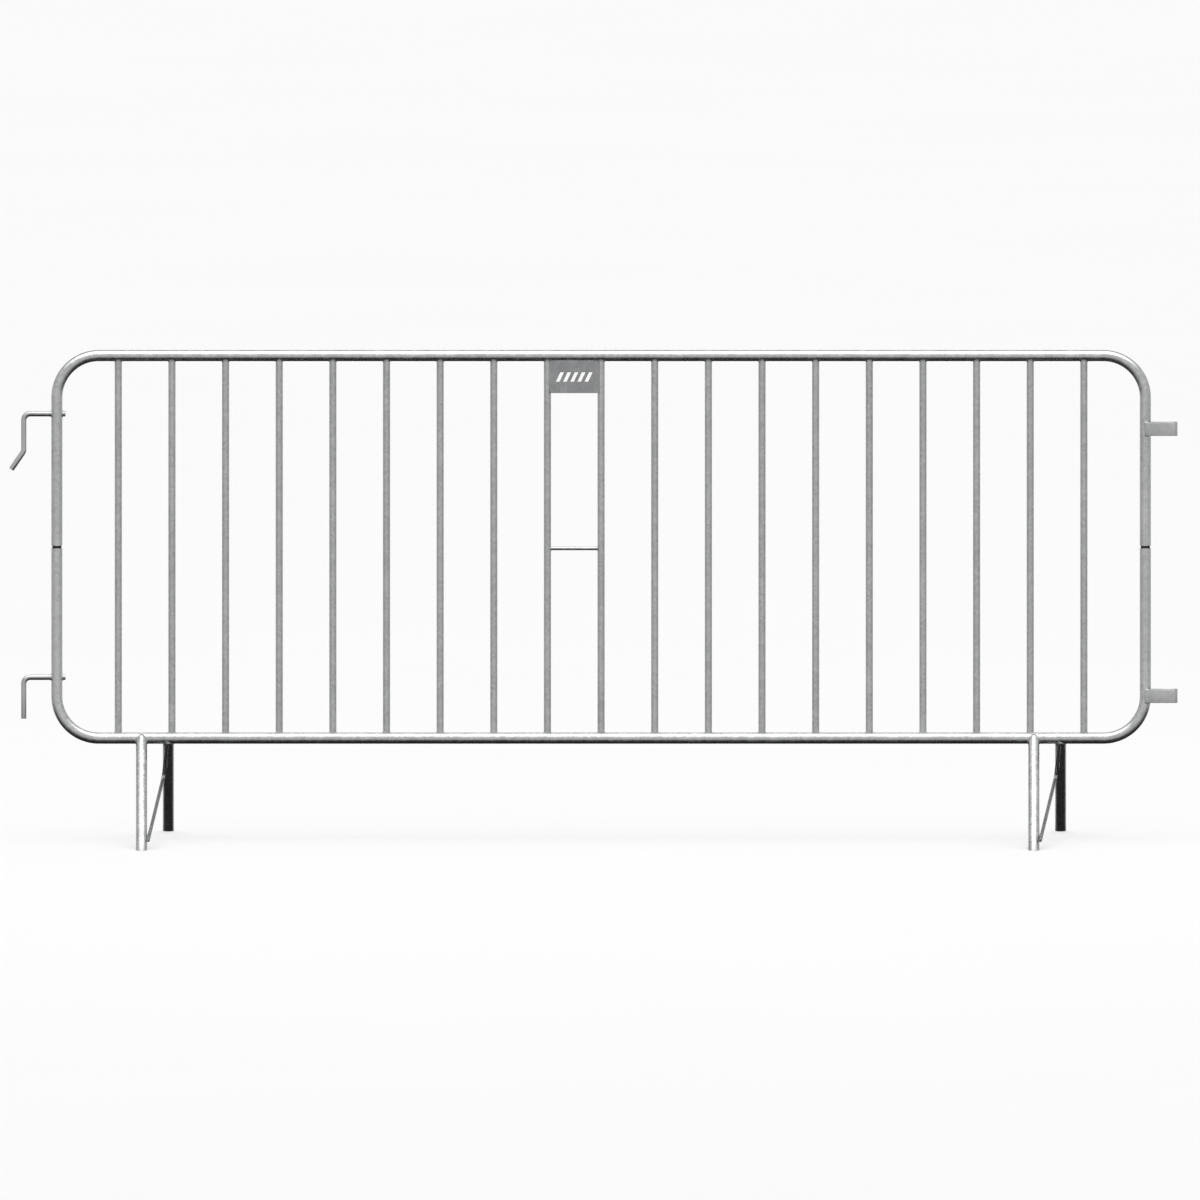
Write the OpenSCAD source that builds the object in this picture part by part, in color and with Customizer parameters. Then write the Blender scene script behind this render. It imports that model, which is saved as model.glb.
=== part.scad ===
// Crowd control barrier: a bent tube frame with welded vertical bars, hooks, loops and fixed legs.
// Millimetres, +Z up. The ground is z = 0 and the barrier stands in the plane y = 0.
// The hooks are at -X and the loops at +X. The origin is below the middle of the overall length.

/* [Frame] */
// Height of the barrier, from the ground to the top of its top rail
barrier_h = 1100; // [900:10:1300]
// Width of the frame over its two uprights
frame_w = 2460; // [2000:10:3000]
// Height of the underside of the bottom rail above the ground
ground_gap = 217; // [170:1:280]
// Outer diameter of the frame and leg tube
tube_d = 25; // [20:0.5:32]
// Wall of the frame and leg tube
tube_wall = 2; // [1.5:0.1:3]
// Radius of the frame's four bends, to the middle of the tube
corner_r = 94; // [60:1:115]

/* [Frame joints] */
// Gap between the two halves of the frame in each upright
joint_gap = 5.5; // [2:0.5:10]
// Length of the sleeve inside each joint
sleeve_l = 90; // [50:5:160]
// Wall of the sleeve
sleeve_wall = 2; // [1:0.1:3]
// Clearance all round between the sleeve and the bore of the tube
sleeve_clearance = 0.2; // [0.1:0.05:0.5]

/* [Infill] */
// Diameter of the vertical bars
bar_d = 16; // [12:0.5:19]
// Wall of the vertical bars
bar_wall = 1.2; // [0.8:0.1:2]
// Distance from the middle of an upright to the middle of the first bar
end_bay = 137.5; // [130:0.5:170]
// Diameter of the short rod between the two bars left of the middle
cross_rod_d = 8; // [6:0.5:12]
// How far the short rod lies below the joints of the frame
cross_rod_drop = 3.5; // [0:0.5:60]

/* [Name plate] */
// Thickness of the plate
plate_t = 2.5; // [1.5:0.5:4]
// Distance from the middle of the top rail down to the lower edge of the plate
plate_drop = 83.5; // [60:0.5:140]
// How far each side of the plate laps over its bar
plate_lap = 3; // [1:0.5:6]
// Radius of the lower corners of the plate
plate_corner_r = 2; // [1:0.5:6]
// Height of the row of slots through the plate
slot_h = 21; // [12:1:30]
// Width of one slot
slot_w = 8; // [4:0.5:8]
// Solid plate left at each end of the row of slots
slot_margin = 14; // [6:0.5:18]
// Sideways lean of each slot from its foot to its top
slot_lean = 10; // [0:1:10]

/* [Hooks] */
// Diameter of the hook rod
hook_d = 12; // [10:0.5:14]
// Clearance all round between a hook rod and its holes in the upright
hook_clearance = 0.2; // [0.1:0.05:0.4]
// Distance from the middle of the upright to the hanging part of a hook
hook_reach = 74; // [60:1:90]
// Radius of the bends in a hook, to the middle of the rod
hook_bend_r = 14; // [12:1:20]
// Length of rod that stands out on the inner side of the upright
hook_stub = 7; // [3:1:15]
// Distance from the top of the barrier down to the upper hook
upper_hook_drop = 143; // [125:1:200]
// Distance from the upper hook's rod down to its kink
upper_hook_l = 84; // [60:1:120]
// Length of the tip beyond the kink
tip_l = 49; // [20:1:60]
// Lean of the tip away from the barrier
tip_angle = 34.5; // [10:0.5:45]
// Height of the lower hook above the middle of the bottom rail
lower_hook_rise = 136.5; // [120:0.5:200]
// Distance from the lower hook's rod down to its end
lower_hook_l = 92.5; // [60:0.5:110]

/* [Loops] */
// Thickness of the loop strap
strap_t = 4; // [3:0.5:6]
// Height of the loop strap
strap_h = 30; // [20:1:40]
// Distance from the middle of the upright to the outer face of a loop
loop_reach = 72; // [60:1:90]
// Radius of the two bends in a loop, to the middle of the strap
loop_bend_r = 7.5; // [7:0.5:9]
// Distance from the top of the barrier down to the middle of the upper loop
upper_loop_drop = 176.5; // [125:0.5:220]
// Height of the middle of the lower loop above the middle of the bottom rail
lower_loop_rise = 95; // [85:0.5:180]

/* [Legs] */
// Distance between the middles of the front and rear feet
foot_spread = 600; // [450:10:700]
// Distance along the rail from the middle of an upright to the outer leg
leg_inset = 189.5; // [150:0.5:300]
// Distance along the rail between the two legs of a pair
leg_stagger = 60; // [45:1:90]

/* [Leg braces] */
// Diameter of the brace rod
brace_d = 8; // [6:0.5:10]
// Radius of the bend in the brace, to the middle of the rod
brace_bend_r = 10; // [8:0.5:14]
// Height above the ground at which the brace crosses the front leg
brace_cross_h = 30; // [25:1:60]
// Length of rod in front of that crossing
brace_tail = 32; // [15:1:40]
// Distance from the rail down the rear leg to the bend
brace_bend_at = 138; // [100:1:200]
// Distance from the rail down the rear leg to the upper end
brace_top_at = 5; // [4:1:30]
// Angle round the rear leg, from its underside, at which the upper end lies
brace_top_angle = 13; // [0:1:30]
// Angle round the rear leg, from its underside, at which the bend lies
brace_bend_angle = 40; // [20:1:50]

/* [Hidden] */
$fn = 64;

weld_gap = 0.2;             // left between two welded pieces, and filled by the weld
rod_swell = 1.01;           // thickness of a bend in a solid rod, over that of the rod
bend_run_in = 0.5;          // how far a rod's straight lengths run into such a bend
bar_count = 19;
middle_bar = 10;
slot_count = 5;

tube_r = tube_d / 2;
hook_r = hook_d / 2;
brace_r = brace_d / 2;

top_z = barrier_h - tube_r;                  // middle of the top rail
bottom_z = ground_gap + tube_r;              // middle of the bottom rail
joint_z = (top_z + bottom_z) / 2;
upright_x = frame_w / 2 - tube_r;            // middle of an upright, from the middle of the frame
bar_pitch = 2 * (upright_x - end_bay) / (bar_count - 1);

upper_hook_z = barrier_h - upper_hook_drop;
lower_hook_z = bottom_z + lower_hook_rise;
upper_loop_z = barrier_h - upper_loop_drop;
lower_loop_z = bottom_z + lower_loop_rise;

hook_end_x = upright_x + hook_reach + tip_l * sin(tip_angle) + hook_r * cos(tip_angle);
frame_x = (hook_end_x - upright_x - loop_reach) / 2;    // middle of the frame, from the origin

outer_leg_x = upright_x - leg_inset;
inner_leg_x = outer_leg_x - leg_stagger;
leg_lean = atan(foot_spread / 2 / bottom_z);            // from the vertical
leg_l = bottom_z / cos(leg_lean);                       // along its axis, from the rail to the ground

function unit(v) = v / norm(v);
function bar_x(i) = (i - middle_bar) * bar_pitch;

// Sweeps a flat outline up +Z, and bends it round towards +X by each angle in turns.
// With a swell over 1 the bends are that much thicker, and the straight lengths run into them.
module swept(lengths, turns, r, swell = 1, i = 0) {
    run_in = swell > 1 ? bend_run_in : 0;
    from = i > 0 ? -run_in : 0;
    to = lengths[i] + (i < len(turns) ? run_in : 0);
    translate([0, 0, from]) linear_extrude(to - from) children();
    if (i < len(turns)) translate([0, 0, lengths[i]]) {
        side = sign(turns[i]);
        turn = abs(turns[i]);
        rotate([0, 0, side < 0 ? 180 : 0]) translate([r, 0, 0]) rotate([90, 0, 180])
            rotate_extrude(angle = turn) translate([r, 0]) scale(swell) children();
        translate([side * r * (1 - cos(turn)), 0, r * sin(turn)]) rotate([0, turns[i], 0])
            swept(lengths, turns, r, swell, i + 1) children();
    }
}

module ring(d, wall) {
    difference() {
        circle(d = d);
        circle(d = d - 2 * wall);
    }
}

// A bar along X, centred on the origin
module cross_bar(d, length) {
    rotate([0, 90, 0]) cylinder(d = d, h = length, center = true);
}

// The space that the rail at height z and its weld need, over a length either side of x
module rail_space(x, z, length) {
    translate([x, 0, z]) cross_bar(tube_d + 2 * weld_gap, length);
}

// One half of the frame, from its joint up: an upright, a bend, the rail, a bend and an upright
module half_frame(rail_height) {
    upright_l = rail_height - corner_r - joint_gap / 2;
    translate([frame_x - upright_x, 0, joint_gap / 2])
        swept([upright_l, 2 * (upright_x - corner_r), upright_l], [90, 90], corner_r)
            ring(tube_d, tube_wall);
}

// The hole right through the left upright that a hook passes through
module hook_hole(z) {
    translate([frame_x - upright_x, 0, z]) cross_bar(hook_d + 2 * hook_clearance, 2 * tube_d);
}

module top_frame_tube() {
    color("silver") difference() {
        translate([0, 0, joint_z]) half_frame(top_z - joint_z);
        hook_hole(upper_hook_z);
    }
}

module bottom_frame_tube() {
    color("silver") difference() {
        translate([0, 0, joint_z]) mirror([0, 0, 1]) half_frame(joint_z - bottom_z);
        hook_hole(lower_hook_z);
    }
}

module joint_sleeve(x) {
    sleeve_d = tube_d - 2 * tube_wall - 2 * sleeve_clearance;
    color("dimgray") translate([frame_x + x, 0, joint_z - sleeve_l / 2])
        linear_extrude(sleeve_l) ring(sleeve_d, sleeve_wall);
}

module infill_bar(i) {
    x = frame_x + bar_x(i);
    color("silver") difference() {
        translate([x, 0, bottom_z]) linear_extrude(top_z - bottom_z) ring(bar_d, bar_wall);
        rail_space(x, top_z, 2 * bar_d);
        rail_space(x, bottom_z, 2 * bar_d);
    }
}

// Runs from the bar left of the middle to the middle bar, and is coped to both
module cross_rod() {
    z = joint_z - cross_rod_drop;
    color("silver") difference() {
        translate([frame_x - bar_pitch / 2, 0, z]) cross_bar(cross_rod_d, bar_pitch);
        for (i = [middle_bar - 1, middle_bar])
            translate([frame_x + bar_x(i), 0, z])
                cylinder(d = bar_d + 2 * weld_gap, h = 2 * cross_rod_d, center = true);
    }
}

// Hangs below the top rail, welded to the front of the same two bars
module name_plate() {
    bar_r = bar_d / 2;
    back_y = sqrt(pow(bar_r, 2) - pow(bar_r - plate_lap, 2)) + weld_gap;
    plate_w = bar_pitch - bar_d + 2 * plate_lap;
    plate_h = plate_drop - sqrt(pow(tube_r, 2) - pow(back_y, 2)) - weld_gap;
    color("gray") translate([frame_x - bar_pitch / 2, -back_y, top_z - plate_drop])
        rotate([90, 0, 0]) linear_extrude(plate_t) difference() {
            plate_outline(plate_w, plate_h);
            translate([0, plate_h / 2]) slots(plate_w - 2 * slot_margin);
        }
}

// A rectangle standing on the X axis, with its two lower corners rounded
module plate_outline(w, h) {
    translate([-w / 2, plate_corner_r]) square([w, h - plate_corner_r]);
    translate([plate_corner_r - w / 2, 0]) square([w - 2 * plate_corner_r, plate_corner_r]);
    for (side = [-1, 1])
        translate([side * (w / 2 - plate_corner_r), plate_corner_r]) circle(r = plate_corner_r);
}

// A row of leaning slots, w wide in all
module slots(w) {
    slot_pitch = (w - slot_w - slot_lean) / (slot_count - 1);
    for (k = [0 : slot_count - 1])
        translate([(k - (slot_count - 1) / 2) * slot_pitch, 0])
            polygon([
                [-(slot_w + slot_lean) / 2, -slot_h / 2], [(slot_w - slot_lean) / 2, -slot_h / 2],
                [(slot_w + slot_lean) / 2, slot_h / 2], [(slot_lean - slot_w) / 2, slot_h / 2]
            ]);
}

// A hook rod that starts inside the frame at height z, and runs out through the left upright
module hook(z, lengths, turns) {
    color("silver") translate([frame_x - upright_x + tube_r + hook_stub, 0, z]) rotate([180, 90, 0])
        swept(concat([hook_stub + tube_r + hook_reach - hook_bend_r], lengths), turns,
            hook_bend_r, rod_swell)
            circle(d = hook_d);
}

module upper_hook() {
    kink = hook_bend_r * tan(tip_angle / 2);    // from the kink's corner to where its bend starts
    hook(upper_hook_z, [upper_hook_l - hook_bend_r - kink, tip_l - kink], [90, -tip_angle]);
}

module lower_hook() {
    hook(lower_hook_z, [lower_hook_l - hook_bend_r], [90]);
}

// A strap round the right upright, open towards the barrier and welded to the tube front and back
module strap_loop(z) {
    half_w = tube_r + weld_gap + strap_t / 2;
    side_l = loop_reach - strap_t / 2 - loop_bend_r;
    color("silver") translate([frame_x + upright_x, -half_w, z]) rotate([90, 0, 90])
        swept([side_l, 2 * (half_w - loop_bend_r), side_l], [90, 90], loop_bend_r)
            square([strap_t, strap_h], center = true);
}

// A leg from the bottom rail to the ground, coped to the rail and cut level at its foot
module leg(x, side) {
    overrun = tube_d * tan(leg_lean);
    color("silver") difference() {
        translate([frame_x + x, 0, bottom_z]) rotate([side * (180 - leg_lean), 0, 0])
            linear_extrude(leg_l + overrun) ring(tube_d, tube_wall);
        rail_space(frame_x + x, bottom_z, 2 * tube_d);
        translate([frame_x + x - tube_d, -foot_spread, -2 * overrun])
            cube([2 * tube_d, 2 * foot_spread, 2 * overrun]);
    }
}

// Points on a brace, measured from where the axis of its rear leg meets that of the rail. The rod
// lies under the rear leg and rests on it half way along, so its ends stand a little further out.
brace_seat = tube_r + brace_r + weld_gap;
brace_out = brace_seat / cos((brace_bend_angle - brace_top_angle) / 2);
rear_leg = [0, sin(leg_lean), -cos(leg_lean)];
rear_under = [0, -cos(leg_lean), -sin(leg_lean)];
front_leg = [0, -sin(leg_lean), -cos(leg_lean)];

function beside_rear_leg(along, angle) =
    along * rear_leg + brace_out * (cos(angle) * rear_under - [sin(angle), 0, 0]);
function beside_front_leg(gap) =
    [gap - leg_stagger, 0, 0] + (bottom_z - brace_cross_h) / cos(leg_lean) * front_leg;

brace_top = beside_rear_leg(brace_top_at, brace_top_angle);
brace_bend = beside_rear_leg(brace_bend_at, brace_bend_angle);
// The rod passes the front leg at a slant, so it crosses a little further out than its seat
brace_slant = cross(front_leg, unit(beside_front_leg(brace_seat) - brace_bend));
brace_cross = beside_front_leg(brace_seat * norm(brace_slant) / abs(brace_slant[0]));
brace_foot = brace_cross + brace_tail * unit(brace_cross - brace_bend);

// One rod from beside the front leg up to its bend, and back up under the rear leg to the rail
module leg_brace(rear_leg_x) {
    first = unit(brace_bend - brace_foot);
    second = unit(brace_top - brace_bend);
    turn = acos(first * second);
    cut = brace_bend_r * tan(turn / 2);         // from the corner to where the bend starts
    tilt = acos(first[2]);
    heading = atan2(first[1], first[0]);
    side_x = [cos(tilt) * cos(heading), cos(tilt) * sin(heading), -sin(tilt)];
    side_y = [-sin(heading), cos(heading), 0];
    color("silver") translate([frame_x + rear_leg_x, 0, bottom_z] + brace_foot)
        rotate([0, tilt, heading]) rotate([0, 0, atan2(second * side_y, second * side_x)])
            swept([norm(brace_bend - brace_foot) - cut, norm(brace_top - brace_bend) - cut],
                [turn], brace_bend_r, rod_swell)
                circle(d = brace_d);
}

module left_joint_sleeve() joint_sleeve(-upright_x);
module right_joint_sleeve() joint_sleeve(upright_x);
module upper_loop() strap_loop(upper_loop_z);
module lower_loop() strap_loop(lower_loop_z);
module front_left_leg() leg(-outer_leg_x, 1);
module rear_left_leg() leg(-inner_leg_x, -1);
module front_right_leg() leg(inner_leg_x, 1);
module rear_right_leg() leg(outer_leg_x, -1);
module left_leg_brace() leg_brace(-inner_leg_x);
module right_leg_brace() leg_brace(outer_leg_x);

top_frame_tube();
bottom_frame_tube();
left_joint_sleeve();
right_joint_sleeve();
infill_bar(1);  // infill_bar_01
infill_bar(2);  // infill_bar_02
infill_bar(3);  // infill_bar_03
infill_bar(4);  // infill_bar_04
infill_bar(5);  // infill_bar_05
infill_bar(6);  // infill_bar_06
infill_bar(7);  // infill_bar_07
infill_bar(8);  // infill_bar_08
infill_bar(9);  // infill_bar_09
infill_bar(10);  // infill_bar_10
infill_bar(11);  // infill_bar_11
infill_bar(12);  // infill_bar_12
infill_bar(13);  // infill_bar_13
infill_bar(14);  // infill_bar_14
infill_bar(15);  // infill_bar_15
infill_bar(16);  // infill_bar_16
infill_bar(17);  // infill_bar_17
infill_bar(18);  // infill_bar_18
infill_bar(19);  // infill_bar_19
cross_rod();
name_plate();
upper_hook();
lower_hook();
upper_loop();
lower_loop();
front_left_leg();
rear_left_leg();
front_right_leg();
rear_right_leg();
left_leg_brace();
right_leg_brace();
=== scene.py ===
import math

import bmesh
import bpy
from mathutils import Matrix, Vector


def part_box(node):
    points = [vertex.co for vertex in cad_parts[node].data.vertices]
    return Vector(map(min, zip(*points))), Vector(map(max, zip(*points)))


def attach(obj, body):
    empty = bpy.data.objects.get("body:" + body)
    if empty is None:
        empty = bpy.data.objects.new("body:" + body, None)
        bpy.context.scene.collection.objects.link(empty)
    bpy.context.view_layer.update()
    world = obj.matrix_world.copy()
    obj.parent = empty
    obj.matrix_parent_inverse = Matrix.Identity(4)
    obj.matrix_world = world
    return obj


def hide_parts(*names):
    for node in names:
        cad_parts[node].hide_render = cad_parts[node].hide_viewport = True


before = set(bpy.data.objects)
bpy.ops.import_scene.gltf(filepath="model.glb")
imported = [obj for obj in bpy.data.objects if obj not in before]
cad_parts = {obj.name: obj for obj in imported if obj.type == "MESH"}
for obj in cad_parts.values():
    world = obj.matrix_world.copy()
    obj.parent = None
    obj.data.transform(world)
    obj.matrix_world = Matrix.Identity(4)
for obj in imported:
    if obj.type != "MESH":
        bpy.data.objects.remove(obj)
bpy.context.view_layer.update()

scene = bpy.context.scene
scene.view_settings.view_transform = "Standard"

# Camera: far off and without perspective, square to the panel and a little above it
cameraLook = {
    "aim": (0.0149, 0.0, 0.5394),
    "elevation": 4.15,  # degrees above level
    "distance": 14.0,
    "viewWidth": 2.6844,
}

camera = bpy.data.objects.new("camera", bpy.data.cameras.new("camera"))
camera.data.type = "ORTHO"
camera.data.ortho_scale = cameraLook["viewWidth"]
camera.data.clip_end = 100.0
tilt = math.radians(cameraLook["elevation"])
towardsCamera = Vector((0, -math.cos(tilt), math.sin(tilt)))
camera.location = Vector(cameraLook["aim"]) + cameraLook["distance"] * towardsCamera
camera.rotation_euler = (math.pi / 2 - tilt, 0, 0)
scene.collection.objects.link(camera)
scene.camera = camera

# Where things are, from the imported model
topLow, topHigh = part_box("top_frame_tube")
bottomLow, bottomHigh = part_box("bottom_frame_tube")
barNodes = sorted(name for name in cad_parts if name.startswith("infill_bar"))
tubeRadius = 0.0125
weldGap = 0.0002  # a coped end stands this far off the tube it meets
leftUpright = topLow.x + tubeRadius
rightUpright = topHigh.x - tubeRadius
topRail = topHigh.z - tubeRadius
bottomRail = bottomLow.z + tubeRadius


def middle(node):
    low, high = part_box(node)
    return (low + high) / 2


barX = [middle(node).x for node in barNodes]
print("frame and camera ready")


# Nodes, for materials and geometry alike

class Wire:
    # A socket that can be used in sums
    def __init__(self, bench, socket):
        self.bench = bench
        self.socket = socket

    def maths(self, operation, first, second):
        return self.bench.add("ShaderNodeMath", {"operation": operation}, {0: first, 1: second})

    def __add__(self, other):
        return self.maths("ADD", self, other)

    def __radd__(self, other):
        return self.maths("ADD", other, self)

    def __sub__(self, other):
        return self.maths("SUBTRACT", self, other)

    def __rsub__(self, other):
        return self.maths("SUBTRACT", other, self)

    def __mul__(self, other):
        return self.maths("MULTIPLY", self, other)

    def __rmul__(self, other):
        return self.maths("MULTIPLY", other, self)

    def __truediv__(self, other):
        return self.maths("DIVIDE", self, other)

    def __rtruediv__(self, other):
        return self.maths("DIVIDE", other, self)

    def between(self, low, high):
        # 0 below low, 1 above high, with a soft step between
        return self.bench.add(
            "ShaderNodeMapRange", {"interpolation_type": "SMOOTHSTEP"},
            {"Value": self, "From Min": low, "From Max": high},
        )


class Bench:
    # Adds nodes to one tree
    def __init__(self, tree):
        self.tree = tree

    def add(self, kind, settings=None, values=None, result=0):
        node = self.tree.nodes.new(kind)
        for name, value in (settings or {}).items():
            if name == "stops":
                self.setStops(node.color_ramp, value)
            else:
                setattr(node, name, value)
        for name, value in (values or {}).items():
            self.plug(self.port(node.inputs, name), value)
        return Wire(self, self.port(node.outputs, result)) if len(node.outputs) else None

    def port(self, sockets, name):
        if isinstance(name, int):
            return sockets[name]
        return next(socket for socket in sockets if name in (socket.identifier, socket.name))

    def plug(self, socket, value):
        if isinstance(value, Wire):
            self.tree.links.new(value.socket, socket)
        else:
            socket.default_value = value

    def setStops(self, ramp, stops):
        while len(ramp.elements) < len(stops):
            ramp.elements.new(1.0)
        for element, (position, brightness) in zip(ramp.elements, stops):
            element.position = position
            element.color = (brightness, brightness, brightness, 1)

    def mixColour(self, factor, first, second):
        return self.add(
            "ShaderNodeMix", {"data_type": "RGBA"},
            {"Factor_Float": factor, "A_Color": first, "B_Color": second}, "Result_Color",
        )

    def noise(self, place, size, detail=2.0, part="Fac"):
        # size is the width of one patch, in metres
        values = {"Vector": place, "Scale": 1 / size, "Detail": detail}
        return self.add("ShaderNodeTexNoise", None, values, part)


# Finishes: hot-dip zinc with its spangle, clouds, streaks, white bloom, handling wear and foot grime

zincLook = {
    "pale": (0.700, 0.704, 0.705),
    "dull": (0.500, 0.506, 0.514),
    "bloom": (0.760, 0.768, 0.775),  # thin white zinc oxide
    "polish": (0.780, 0.780, 0.775),  # where it has been rubbed
    "grimeTint": (0.235, 0.225, 0.205),
    "roughness": 0.37,
    "flakeSize": 0.0075,
    "flakeDrift": 0.004,  # how far the flakes' outlines wander
    "driftSize": 0.012,
    "cloudSize": 0.21,
    "patchSize": 0.042,
    "grainSize": 0.0011,
    "streaks": (130, 130, 5),  # across and along, in each metre
    "flakeContrast": 0.72,
    "cloudContrast": 0.65,
    "streakContrast": 0.22,
    "grainContrast": 0.30,
    "bloomAmount": 0.30,
    "grimeAmount": 0.4,
    "grimeHeight": 0.03,  # above the ground
    "relief": 0.00016,
    "reliefStrength": 0.8,
}


def zincFinish(name, changes=None):
    look = {**zincLook, **(changes or {})}
    material = bpy.data.materials.new(name)
    material.use_nodes = True
    material.node_tree.nodes.clear()
    bench = Bench(material.node_tree)
    place = bench.add("ShaderNodeTexCoord", result="Object")

    # crystals, their outlines bent a little so that no edge is straight
    drift = bench.noise(place, look["driftSize"], 1.0, "Color")
    bent = bench.add("ShaderNodeVectorMath", {"operation": "MULTIPLY_ADD"}, {
        0: drift, 1: [look["flakeDrift"]] * 3, 2: place,
    })
    cells = {"Vector": bent, "Scale": 1 / look["flakeSize"]}
    flakes = bench.add("ShaderNodeTexVoronoi", None, cells, "Color")
    flake = bench.add("ShaderNodeSeparateColor", None, {"Color": flakes}, "Red")
    edges = bench.add("ShaderNodeTexVoronoi", {"feature": "DISTANCE_TO_EDGE"}, cells, "Distance")
    seam = edges.between(0.0, 0.14)

    cloud = bench.noise(place, look["cloudSize"], 3.0)
    patch = bench.noise(place, look["patchSize"], 3.0)
    grain = bench.noise(place, look["grainSize"])
    stretched = bench.add("ShaderNodeMapping", None, {"Vector": place, "Scale": look["streaks"]})
    streak = bench.noise(stretched, 1.0, 3.0)

    tone = (
        0.5
        + (flake - 0.5) * look["flakeContrast"]
        + (cloud - 0.5) * look["cloudContrast"]
        + (patch - 0.5) * look["cloudContrast"]
        + (streak - 0.5) * look["streakContrast"]
        + (grain - 0.5) * look["grainContrast"]
    )
    colour = bench.mixColour(tone, (*look["dull"], 1), (*look["pale"], 1))

    # white bloom lies in patches, thinner between the grains
    bloomed = (patch + streak * 0.35).between(0.68, 0.90)
    bloom = bloomed * grain.between(0.25, 0.60) * look["bloomAmount"]
    colour = bench.mixColour(bloom, colour, (*look["bloom"], 1))

    # handling wear comes with the mesh, broken up so that it is never an even band
    wear = bench.add("ShaderNodeAttribute", {"attribute_name": "wear"}, None, "Fac")
    rubbed = wear * (patch + grain * 0.4).between(0.42, 0.78)
    colour = bench.mixColour(rubbed, colour, (*look["polish"], 1))

    height = bench.add("ShaderNodeSeparateXYZ", None, {"Vector": place}, "Z")
    grime = (1 - height.between(0.0, look["grimeHeight"])) * (patch + grain * 0.5).between(0.45, 0.95)
    colour = bench.mixColour(grime * look["grimeAmount"], colour, (*look["grimeTint"], 1))

    roughness = (
        look["roughness"]
        + (flake - 0.5) * 0.13
        + (patch - 0.5) * 0.12
        + bloom * 0.30
        - rubbed * 0.13
        + grime * 0.25
    )
    relief = grain * 0.45 + patch * 0.8 + seam * 0.035 + streak * 0.3
    bump = bench.add("ShaderNodeBump", None, {
        "Height": relief, "Distance": look["relief"], "Strength": look["reliefStrength"],
    }, "Normal")
    surface = bench.add("ShaderNodeBsdfPrincipled", None, {
        "Base Color": colour,
        "Metallic": 1.0,
        "Roughness": roughness,
        "Normal": bump,
    })
    bench.add("ShaderNodeOutputMaterial", None, {"Surface": surface})
    return material


tubeZinc = zincFinish("tubeZinc", {
    "pale": (0.740, 0.744, 0.746),
    "dull": (0.540, 0.546, 0.552),
    "roughness": 0.28,
})
barZinc = zincFinish("barZinc", {"roughness": 0.39, "flakeSize": 0.0065})
rodZinc = zincFinish("rodZinc", {
    "pale": (0.540, 0.545, 0.550),
    "dull": (0.390, 0.396, 0.402),
    "polish": (0.600, 0.600, 0.595),
    "roughness": 0.26,
    "flakeSize": 0.0048,
    "flakeContrast": 0.50,
})
strapZinc = zincFinish("strapZinc", {
    "pale": (0.620, 0.625, 0.630),
    "dull": (0.440, 0.445, 0.450),
    "polish": (0.680, 0.680, 0.675),
    "roughness": 0.39,
    "flakeSize": 0.0085,
})
plateZinc = zincFinish("plateZinc", {
    "pale": (0.445, 0.450, 0.456),
    "dull": (0.350, 0.354, 0.360),
    "roughness": 0.43,
    "flakeSize": 0.0095,
})
# near black: painted shade for the dark gap where the two frame tubes meet over the sleeve
sleevePaintedShadeZinc = zincFinish("sleevePaintedShadeZinc", {
    "pale": (0.090, 0.088, 0.086),
    "dull": (0.035, 0.034, 0.033),
    "bloomAmount": 0.05,
    "roughness": 0.62,
})
weldZinc = zincFinish("weldZinc", {
    "pale": (0.640, 0.643, 0.646),
    "dull": (0.430, 0.434, 0.440),
    "roughness": 0.45,
    "flakeSize": 0.0035,
    "relief": 0.00022,
})
print("finishes ready")


# Geometry Nodes trees

def newTree(name, numbers):
    # numbers are the tree's named inputs and what each holds unless a piece says otherwise
    tree = bpy.data.node_groups.new(name, "GeometryNodeTree")
    tree.interface.new_socket("Geometry", in_out="INPUT", socket_type="NodeSocketGeometry")
    tree.interface.new_socket("Geometry", in_out="OUTPUT", socket_type="NodeSocketGeometry")
    for label, value in numbers.items():
        kind = "NodeSocketInt" if isinstance(value, int) else "NodeSocketFloat"
        socket = tree.interface.new_socket(label, in_out="INPUT", socket_type=kind)
        socket.default_value = value
    tree.interface.new_socket("Material", in_out="INPUT", socket_type="NodeSocketMaterial")
    bench = Bench(tree)
    entry = tree.nodes.new("NodeGroupInput")
    inputs = {socket.name: Wire(bench, socket) for socket in entry.outputs if socket.name}
    return bench, inputs


def closeTree(bench, inputs, shape):
    # every tree ends the same way, with real geometry that has its finish
    solid = bench.add("GeometryNodeRealizeInstances", None, {"Geometry": shape})
    done = bench.add("GeometryNodeSetMaterial", None, {
        "Geometry": solid, "Material": inputs["Material"],
    })
    bench.add("NodeGroupOutput", None, {"Geometry": done})
    return bench.tree


def bentPath(bench, inputs, twist="MINIMUM_TWIST"):
    # the line through the piece's corners, with each corner rounded
    line = bench.add("GeometryNodeMeshToCurve", None, {"Mesh": inputs["Geometry"]})
    steady = bench.add("GeometryNodeSetCurveNormal", {"mode": twist}, {"Curve": line})
    return bench.add("GeometryNodeFilletCurve", {"mode": "POLY"}, {
        "Curve": steady, "Radius": inputs["Corner Radius"], "Count": inputs["Corner Steps"],
    })


def wearAlong(bench, inputs, curve):
    # stores how rubbed each point is: all the way between Wear Start and Wear End along the piece
    along = bench.add("GeometryNodeSplineParameter", result="Factor")
    start, end = inputs["Wear Start"], inputs["Wear End"]
    fade = 0.04  # share of the length over which the rubbing sets in
    rubbed = along.between(start - fade, start + fade) * (1 - along.between(end - fade, end + fade))
    return bench.add("GeometryNodeStoreNamedAttribute", {"data_type": "FLOAT", "domain": "POINT"}, {
        "Geometry": curve, "Name": "wear", "Value": rubbed * inputs["Wear"],
    })


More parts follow.
